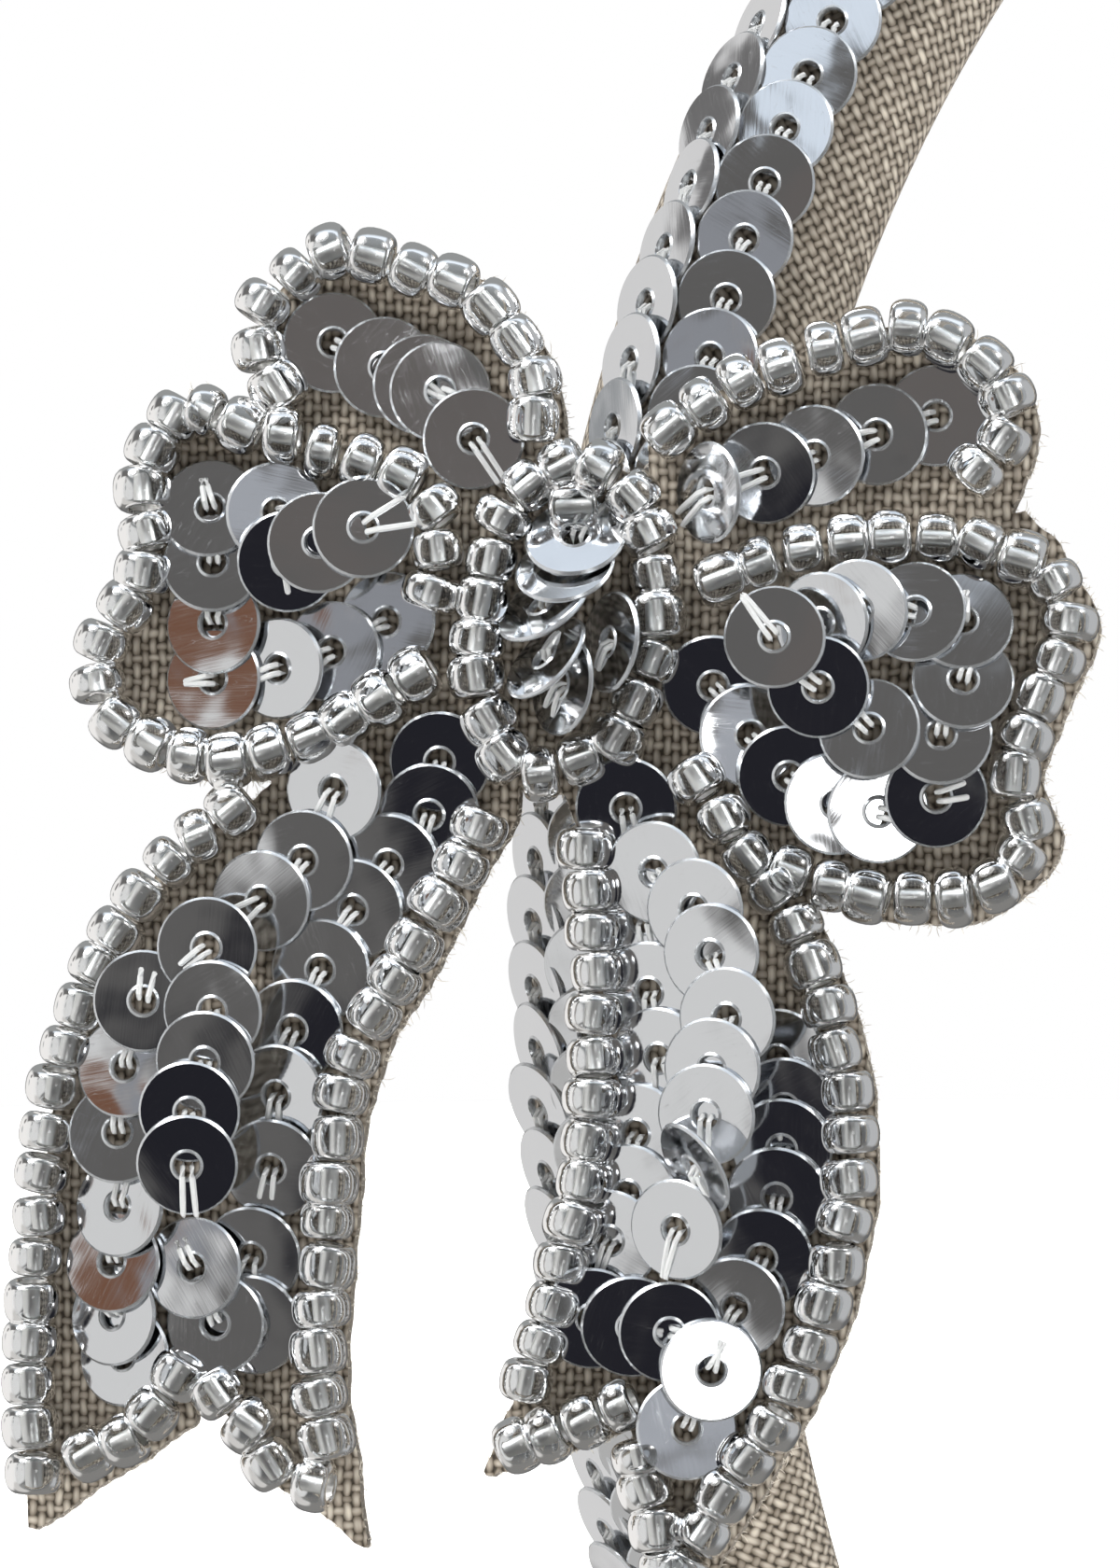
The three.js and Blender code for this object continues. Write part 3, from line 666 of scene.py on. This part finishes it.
def thread_paths(origins, axes, reach):
    """Two strands from each hole ahead to the edge, or to where the next sequin laps over."""
    steps = np.array(STITCH) * np.array([reach / SEQUIN_RADIUS, 1.0])
    paths = []
    for aside in (-THREAD_APART / 2, THREAD_APART / 2):
        skew = chance.normal(0, STITCH_SKEW, len(origins))[:, None]
        local = np.stack([np.broadcast_to(steps[:, 0], (len(origins), len(steps))),
                          aside + skew * steps[:, 0],
                          np.broadcast_to(steps[:, 1], (len(origins), len(steps)))], -1)
        paths.append(np.einsum("nij,npj->npi", axes, local) + origins[:, None])
    return np.concatenate(paths)


def make_row(name, row):
    """One row of lapped sequins along the band, sewn from the plain arm to the bow's."""
    start = HALF_HOOP - ROW_BARE_END
    lengths = np.arange(start, -start, -ROW_PITCH) + row["ahead"]
    lengths = lengths + chance.normal(0, ROW_UNEVEN, len(lengths))
    middle, outward, running = hoop(lengths)
    seat, faces = (np.radians(np.interp(lengths, *zip(*row[key]))) for key in ("sits", "faces"))
    rest = np.hypot(BAND_WIDTH / 2 * np.sin(seat), BAND_DOME * np.cos(seat))
    place = outward * np.cos(seat)[:, None] + FRONT * np.sin(seat)[:, None]
    normal = outward * np.cos(faces)[:, None] + FRONT * np.sin(faces)[:, None]
    lean = LAP_LEAN + chance.normal(0, LEAN_UNEVEN, len(lengths))
    roll = chance.normal(0, ROLL_UNEVEN, len(lengths))
    for number, more in row["askew"].items():
        roll[number] += math.radians(more)
    high = rest + ROW_LIFT + SEQUIN_RADIUS * np.sin(lean)
    sewn = -running
    facing = unit(normal * np.cos(lean)[:, None] + sewn * np.sin(lean)[:, None]
                  + np.cross(normal, sewn) * roll[:, None])
    ahead = unit(sewn - facing * np.sum(sewn * facing, -1, keepdims=True))
    axes = np.stack([ahead, np.cross(facing, ahead), facing], -1)
    origins = middle + place * high[:, None]
    return make_sequins(name, origins, axes), origins, axes


def settle(runs):
    """Place, height, slope and sewing direction of each sequin as it rests on those before it."""
    reach = math.ceil(SEQUIN_RADIUS / REST_CELL)
    heights = np.full(REST_CELLS, YARN_LIFT)
    window = np.arange(-reach, reach + 1) * REST_CELL
    spread = np.stack(np.meshgrid(window, window, indexing="ij"), -1)
    tries = np.stack(np.meshgrid(GIVE, GIVE), -1).reshape(-1, 2)
    found = []
    for run in runs:
        spots, pulls = np.split(np.array(run, float), 2, axis=1)
        ways = np.diff(spots, axis=0) if len(run) > 1 else np.array([[0.0, -1.0]])
        ways = unit(np.vstack([ways[:1], ways])[:len(run)])
        for spot, pull, way in zip(spots, np.radians(pulls), ways):
            i, j = np.round((spot - REST_CORNER) / REST_CELL).astype(int)
            under = heights[i - reach:i + reach + 1, j - reach:j + reach + 1]
            wanted = way * LAP_LEAN + pull
            best = None
            for extra in tries:
                lean = math.hypot(*(wanted + extra)) + TINY
                down = (wanted + extra) / lean
                along, off = spread @ down, spread @ np.array([-down[1], down[0]])
                foot = (along / math.cos(lean)) ** 2 + off ** 2 <= SEQUIN_RADIUS ** 2
                plane = -math.tan(lean) * along[foot]
                rest = (under[foot] - plane).max()
                cost = rest + GIVE_COST * (extra ** 2).sum()
                if best is None or cost < best[0]:
                    best = cost, rest, foot, plane, down * math.tan(lean)
            _, rest, foot, plane, slope = best
            under[foot] = np.maximum(under[foot], rest + plane + SEQUIN_THICKNESS)
            found.append((*spot, rest + SEQUIN_THICKNESS / 2, *slope, *way))
    return np.array(found)


def make_bow_sequins(name, runs):
    """The sequins that fill one piece of the bow."""
    across, up, height, lean_x, lean_y, way_x, way_y = settle(runs).T
    plain = bow_axes(across, up)
    facing = unit(np.stack([lean_x, lean_y, np.ones_like(lean_x)], -1))
    way = np.stack([way_x, way_y, np.zeros_like(way_x)], -1)
    ahead = unit(way - facing * np.sum(way * facing, -1, keepdims=True))
    axes = plain @ np.stack([ahead, np.cross(facing, ahead), facing], -1)
    origins = on_bow(across, up, height)
    return make_sequins(name, origins, axes), origins, axes


def bead_shape():
    """A glass bead with a rounded wall, and which of its faces are the straight silvered bore."""
    turn, half = np.linspace(0, math.pi, BEAD_RINGS), BEAD_LENGTH / 2
    lip = BEAD_BORE + BEAD_LIP
    radius = lip + (BEAD_RADIUS - lip) * np.sin(turn) ** BEAD_SQUARENESS
    height = -half * np.sign(np.cos(turn)) * np.abs(np.cos(turn)) ** BEAD_SQUARENESS
    bore = [(BEAD_BORE, half - BEAD_LIP), (BEAD_BORE, BEAD_LIP - half)]
    profile = np.vstack([np.stack([radius, height], -1), bore])
    points, faces = lathe(profile, BEAD_SIDES)
    lined = np.arange(len(faces)) % len(profile) == len(turn)
    return points, faces, lined


BEAD_POINTS, BEAD_FACES, BEAD_LINED = bead_shape()


def make_beads(name, runs):
    """The beads sewn along the edge of one piece of the bow."""
    places = [spaced(smooth_line(run), BEAD_PITCH) for run in runs]
    at, way = (np.vstack(part) for part in zip(*places))
    count = len(at)
    at = at + chance.normal(0, BEAD_UNEVEN, (count, 2))
    plain = bow_axes(*at.T)
    tilt = chance.normal(0, BEAD_TILT, (count, 2))
    axis = unit(np.stack([way[:, 0] - way[:, 1] * tilt[:, 0], way[:, 1] + way[:, 0] * tilt[:, 0],
                          tilt[:, 1]], -1))
    spin = chance.uniform(0, 2 * math.pi, count)
    level = unit(np.cross(axis, [0.0, 0.0, 1.0]))
    aside = level * np.cos(spin)[:, None] + np.cross(axis, level) * np.sin(spin)[:, None]
    axes = plain @ np.stack([aside, np.cross(axis, aside), axis], -1)
    wide = chance.normal(1, BEAD_WIDTH_SPREAD, count)
    long = chance.normal(1, BEAD_LENGTH_SPREAD, count)
    high = BEAD_HEIGHT + chance.normal(0, BEAD_HEIGHT_SPREAD, count)
    shapes = BEAD_POINTS * np.stack([wide, wide, long], -1)[:, None]
    points, faces = repeated(shapes, BEAD_FACES, axes, on_bow(*at.T, high))
    return new_piece(name, points, faces, [bead_glass, bead_lining], np.tile(BEAD_LINED, count),
                     crease=60)


def outline_of(piece):
    """The closed outline of one piece of the bow."""
    lines = [smooth_line(run, OUTLINE_STEP)[:-1] for run in piece["runs"]]
    last = [piece["runs"][-1][-1]]
    return np.vstack([*lines, last, *([piece["rest"]] if piece["rest"] else [])])


def grown(outline, margin):
    """The outline moved outwards, with pointed corners."""
    outline = outline[np.linalg.norm(outline - np.roll(outline, 1, axis=0), axis=1) > TINY]
    edge = unit(np.roll(outline, -1, axis=0) - outline)
    before, after = np.roll(outline, 1, axis=0), np.roll(outline, -1, axis=0)
    turned = np.sign(np.sum(outline[:, 0] * (after[:, 1] - before[:, 1])))
    aside = turned * np.stack([edge[:, 1], -edge[:, 0]], -1)
    away = unit(aside + np.roll(aside, 1, axis=0))
    square = np.maximum((away * aside).sum(1), SHARPEST_CORNER)
    return outline + away * (margin / square)[:, None]


def depth_inside(points, outline):
    """How far inside a closed outline each point lies, less than nothing outside it."""
    away = np.full(len(points), np.inf)
    inside = np.zeros(len(points), bool)
    for a, b in zip(outline, np.roll(outline, -1, axis=0)):
        edge = b - a
        if not edge.any():
            continue
        t = np.clip((points - a) @ edge / (edge @ edge), 0, 1)
        away = np.minimum(away, np.linalg.norm(points - a - t[:, None] * edge, axis=1))
        spans = (a[1] > points[:, 1]) != (b[1] > points[:, 1])
        if a[1] != b[1]:
            inside ^= spans & (points[:, 0] < a[0] + edge[0] * (points[:, 1] - a[1]) / edge[1])
    return np.where(inside, away, -away)


def make_bow_cloth():
    """The cut cloth under the bow, its raw edge a little past the beads."""
    u, v = np.meshgrid(*(np.arange(*ends, CLOTH_CELL) for ends in CLOTH_REACH), indexing="ij")
    flat = np.stack([u.ravel(), v.ravel()], -1)
    cuts = [grown(outline_of(piece), CLOTH_MARGIN) + CLOTH_SHIFT for piece in BOW_PIECES.values()]
    cuts += [np.array(tip, float) for piece in BOW_PIECES.values() for tip in piece.get("tips", [])]
    depth = np.max([depth_inside(flat, cut) for cut in cuts], 0)
    ragged = sum(RAGGED_DEPTH * np.sin(flat @ chance.normal(0, wave, 2)
                                       + chance.uniform(0, RAGGED_PHASE)) for wave in RAGGED_WAVES)
    depth = (depth + ragged).reshape(u.shape)
    corner = [depth[:-1, :-1], depth[1:, :-1], depth[1:, 1:], depth[:-1, 1:]]
    kept = np.mean(corner, 0) > 0
    index = np.arange(u.size).reshape(u.shape)
    quads = np.stack([index[:-1, :-1], index[1:, :-1], index[1:, 1:], index[:-1, 1:]], -1)[kept]
    edges = np.concatenate([quads[:, [k, (k + 1) % 4]] for k in range(4)])
    known = {tuple(e) for e in edges.tolist()}
    rim = np.array([e for e in edges.tolist() if (e[1], e[0]) not in known])
    slope = np.stack(np.gradient(depth, CLOTH_CELL), -1).reshape(-1, 2)
    on_rim = np.unique(rim)
    steep = np.maximum((slope[on_rim] ** 2).sum(1), LEAST_SLOPE)
    push = depth.ravel()[on_rim, None] * slope[on_rim] / steep[:, None]
    flat[on_rim] -= np.clip(push, -CLOTH_CELL, CLOTH_CELL)
    used = np.unique(quads)
    slot = np.zeros(u.size, int)
    slot[used] = np.arange(len(used))
    top = on_bow(*flat[used].T, np.zeros(len(used)))
    bottom = on_bow(*flat[used].T, np.full(len(used), -CLOTH_THICKNESS))
    quads, rim = slot[quads], slot[rim]
    wall = np.stack([rim[:, 1], rim[:, 0], rim[:, 0] + len(used), rim[:, 1] + len(used)], -1)
    faces = np.vstack([quads, quads[:, ::-1] + len(used), wall])
    uv = np.vstack([flat[used], flat[used] + UNDERSIDE_SHIFT])
    area = kept.sum() * CLOTH_CELL ** 2 * MM ** 2
    size = np.ptp(flat[used], axis=0) * MM
    piece = new_piece("bow_linen", np.vstack([top, bottom]), faces, [linen],
                      corner_uv=uv[faces.ravel()])
    return piece, area, size, flat[on_rim], -unit(slope[on_rim])


def make_fray(edge, outward):
    """Loose fibres that stand out of the cloth's raw edge."""
    pick = chance.integers(0, len(edge), FRAY_COUNT)
    root, way = edge[pick], outward[pick]
    turn = chance.normal(0, FRAY_TURN, FRAY_COUNT)
    way = np.stack([way[:, 0] * np.cos(turn) - way[:, 1] * np.sin(turn),
                    way[:, 0] * np.sin(turn) + way[:, 1] * np.cos(turn)], -1)
    long = chance.gamma(FRAY_BULK, FRAY_SCALE, FRAY_COUNT).clip(FRAY_SHORTEST, FRAY_LONGEST)
    curl = chance.normal(0, FRAY_CURL, FRAY_COUNT)
    start = chance.uniform(-CLOTH_THICKNESS, 0, FRAY_COUNT)
    lift = chance.normal(0, FRAY_LIFT, FRAY_COUNT)
    paths = []
    for t in FRAY_ALONG:
        bent = way + np.stack([-way[:, 1], way[:, 0]], -1) * (curl * t)[:, None]
        at = root + bent * (long * t)[:, None]
        paths.append(on_bow(*at.T, start + lift * long * t))
    return new_piece("frayed_linen", *strands(np.stack(paths, 1), FRAY_RADIUS, FRAY_SIDES), [fibre])


band = make_band()
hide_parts("band")

threads = []
for side, row in ROWS.items():
    sequins, origins, axes = make_row(side + "_row_sequins", row)
    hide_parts("band_sequins_" + side)
    threads.append(thread_paths(origins, axes, STITCH_REACH))

bow_linen, cut_area, cut_size, raw_edge, raw_outward = make_bow_cloth()
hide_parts("bow_cloth")
fray = make_fray(raw_edge, raw_outward)

for name, piece in BOW_PIECES.items():
    beads = make_beads(name + "_glass_beads", piece["runs"] + piece.get("inner", []))
    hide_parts(name + "_beads")
    fill, origins, axes = make_bow_sequins(name + "_film_sequins", SEQUIN_RUNS[name])
    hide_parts(name + "_sequins")
    threads.append(thread_paths(origins[-1:], axes[-1:], SEQUIN_RADIUS))
    if len(origins) > 1:
        threads.append(thread_paths(origins[:-1], axes[:-1], STITCH_REACH))

new_piece("sewing_thread", *strands(np.concatenate(threads), THREAD_RADIUS, THREAD_SIDES), [nylon])

# Camera: close, level with the bow, from its side of the front, and aimed at a place on the bow.
CAMERA_SIDE = math.radians(52)
CAMERA_UP = math.radians(3)
CAMERA_AWAY = 450.0
CAMERA_AIM = np.array([-0.26, -6.5, 0.0])
toward_camera = np.array([-math.cos(CAMERA_SIDE) * math.cos(CAMERA_UP),
                          -math.sin(CAMERA_SIDE) * math.cos(CAMERA_UP), math.sin(CAMERA_UP)])
aim = on_bow(*CAMERA_AIM)
lens = bpy.data.cameras.new("close_camera")
lens.lens = 260
lens.sensor_width = 36
lens.clip_start = 0.02
camera = bpy.data.objects.new("close_camera", lens)
camera.location = Vector((aim + toward_camera * CAMERA_AWAY) * MM)
camera.rotation_euler = Vector(toward_camera).to_track_quat("Z", "Y").to_euler()
bpy.context.collection.objects.link(camera)
bpy.context.scene.camera = camera

# Pale board under the headband, lit from below so that it is as white as the backdrop.
board, tree = new_material("opal_acrylic_board")
shader = add(tree, "BsdfPrincipled", {"Base Color": linear("#f1f0ee"), "Roughness": 0.9,
                                      "Emission Color": linear("#ffffff"),
                                      "Emission Strength": 0.6})
add(tree, "OutputMaterial", {"Surface": shader.outputs[0]})
bpy.ops.mesh.primitive_circle_add(vertices=96, radius=0.6, fill_type="NGON")
floor = bpy.context.object
floor.name = "floor"
floor.data.materials.append(board)
floor.visible_glossy = False
floor.visible_transmission = False

# Studio, by direction seen from the headband: degrees to the right of and above the camera,
# where the panel's even middle ends and its soft edge ends, colour and brightness. A later panel
# hangs in front of those before it, and all hang in a dim room.
ROOM = "#6a6866"
PANELS = (
    (180, 10, 60, 100, "#f4f4f4", 0.15),
    (90, 5, 35, 55, "#d6d8da", 0.65),
    (0, -90, 42, 62, "#eceae6", 0.25),
    (-8, -15, 13, 22, "#27272d", 1.00),
    (0, 90, 32, 46, "#e6eff9", 1.10),
    (180, 45, 34, 48, "#9a9c9c", 0.90),
    (-75, -6, 35, 41, "#f6f5f3", 0.88),
    (-78, -48, 22, 32, "#d8d6d3", 0.85),
    (-124, -5, 28, 40, "#d6d4d2", 1.25),
    (-119, 19, 4.5, 6.5, "#7b7978", 1.00),
    (-123, 4, 1, 6, "#a3a5a6", 1.00),
    (-34.5, 27.5, 6, 8, "#dfe8f2", 1.20),
    (20, 8, 5, 8, "#c9ccd2", 0.80),
    (-57, 54, 16, 21, "#ffffff", 6.00),
    (-57, 54, 7, 9, "#ffffff", 30.0),
    (58, 42, 12, 17, "#ffffff", 3.00),
    (58, 42, 6, 8, "#ffffff", 21.0),
    (-4, 12, 8, 14, "#6f6a67", 1.00),
    (-47, 10, 4, 7, "#86604c", 0.90),
    (-37, 12.5, 5, 7.5, "#9a9ca1", 1.00),
    (8.5, 6.5, 4, 6, "#ffffff", 6.00),
)
world = bpy.data.worlds.new("studio")
world.use_nodes = True
tree = world.node_tree
tree.nodes.clear()
seen = add(tree, "TexCoord").outputs["Generated"]
level = np.array([toward_camera[0], toward_camera[1], 0.0])
level = level / np.linalg.norm(level)
aside = np.array([-level[1], level[0], 0.0])
light = linear(ROOM)
for right, up, inner, outer, colour, bright in PANELS:
    right, up = math.radians(right), math.radians(up)
    way = (level * math.cos(right) + aside * math.sin(right)) * math.cos(up)
    facing = add(tree, "VectorMath", {0: seen, 1: (way[0], way[1], math.sin(up))},
                 operation="DOT_PRODUCT").outputs["Value"]
    share = add(tree, "MapRange", {"Value": facing, "From Min": math.cos(math.radians(outer)),
                                   "From Max": math.cos(math.radians(inner))},
                interpolation_type="SMOOTHSTEP").outputs[0]
    panel = (*(bright * part for part in linear(colour)[:3]), 1.0)
    light = add(tree, "MixRGB", {"Fac": share, "Color1": light, "Color2": panel}).outputs[0]
studio = add(tree, "Background", {"Color": light}).outputs[0]
backdrop = add(tree, "Background", {"Color": linear("#ffffff")}).outputs[0]
eye = add(tree, "LightPath").outputs["Is Camera Ray"]
both = add(tree, "MixShader", {0: eye, 1: studio, 2: backdrop}).outputs[0]
add(tree, "OutputWorld", {"Surface": both})
bpy.context.scene.world = world

# A broad soft fill beside the camera that lights the cloth and isn't mirrored in the sequins.
FILL_ASIDE = np.array([0.2, -0.25, 0.5])
FILL_AWAY = 600
fill = bpy.data.lights.new("cloth_fill", "AREA")
fill.size = 0.4
fill.energy = 0.05
fill_light = bpy.data.objects.new("cloth_fill", fill)
fill_light.location = Vector((aim + (toward_camera + FILL_ASIDE) * FILL_AWAY) * MM)
beam = fill_light.location - Vector(aim * MM)
fill_light.rotation_euler = beam.to_track_quat("Z", "Y").to_euler()
fill_light.visible_camera = False
fill_light.visible_glossy = False
fill_light.visible_transmission = False
bpy.context.collection.objects.link(fill_light)
bpy.context.scene.view_settings.view_transform = "Standard"
